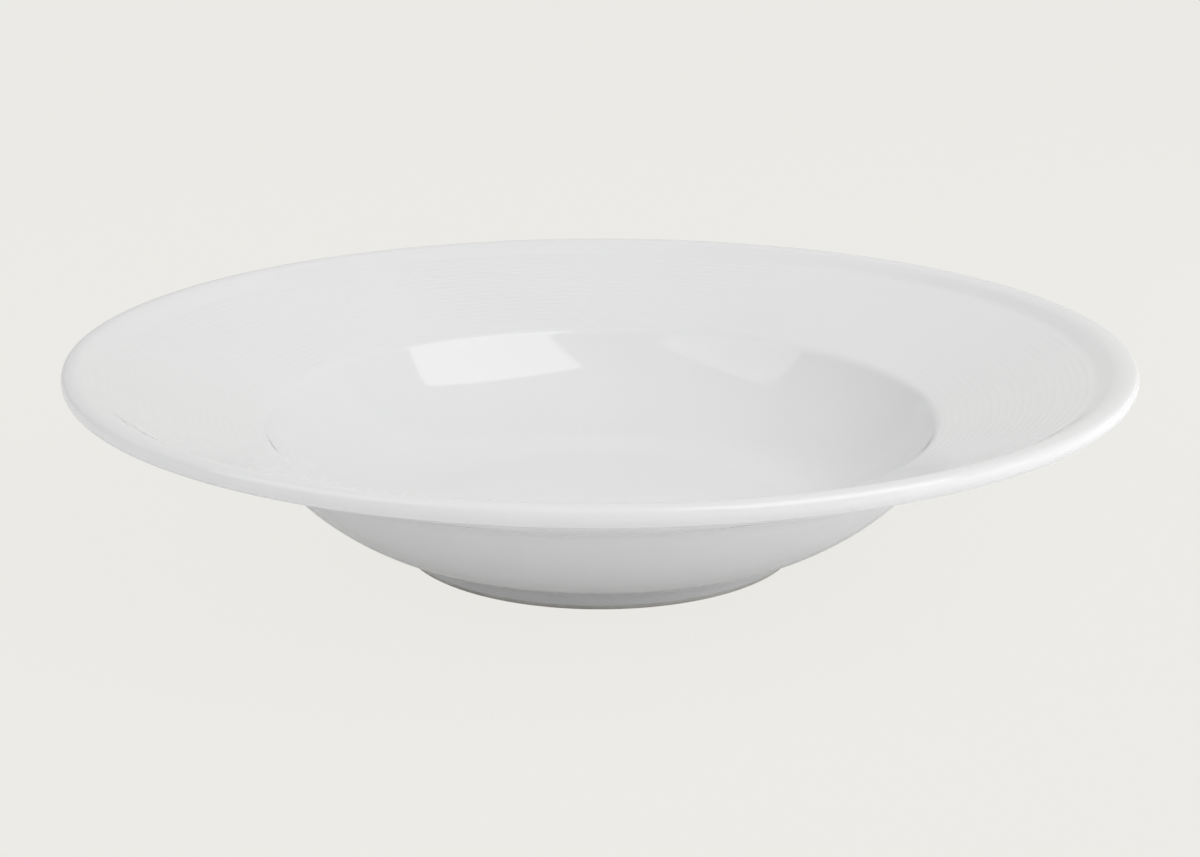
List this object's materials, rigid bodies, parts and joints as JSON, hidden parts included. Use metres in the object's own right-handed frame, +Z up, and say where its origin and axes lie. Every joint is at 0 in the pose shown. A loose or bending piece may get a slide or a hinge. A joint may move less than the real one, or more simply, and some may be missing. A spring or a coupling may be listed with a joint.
{
  "type": "soup plate",
  "caption": "Round deep plate for soup: a rounded well inside a wide sloping rim with fine concentric rings, a rolled lip and a low foot ring. White glazed porcelain.",
  "frame": {"origin": "on the table under the middle of the plate: the centre of the foot ring's standing face", "axes": "+Z up along the axis of revolution; X and Y are alike"},
  "size_m": [0.24, 0.24, 0.0483],
  "materials": {
    "bare_porcelain": "fired, unglazed, fine matt grain",
    "white_glaze": "clear gloss glaze over white porcelain"
  },
  "bodies": {
    "root": {"porcelain_body": "bare_porcelain", "glaze_coat": "white_glaze", "foot_recess_glaze": "white_glaze"}
  },
  "joints": []
}
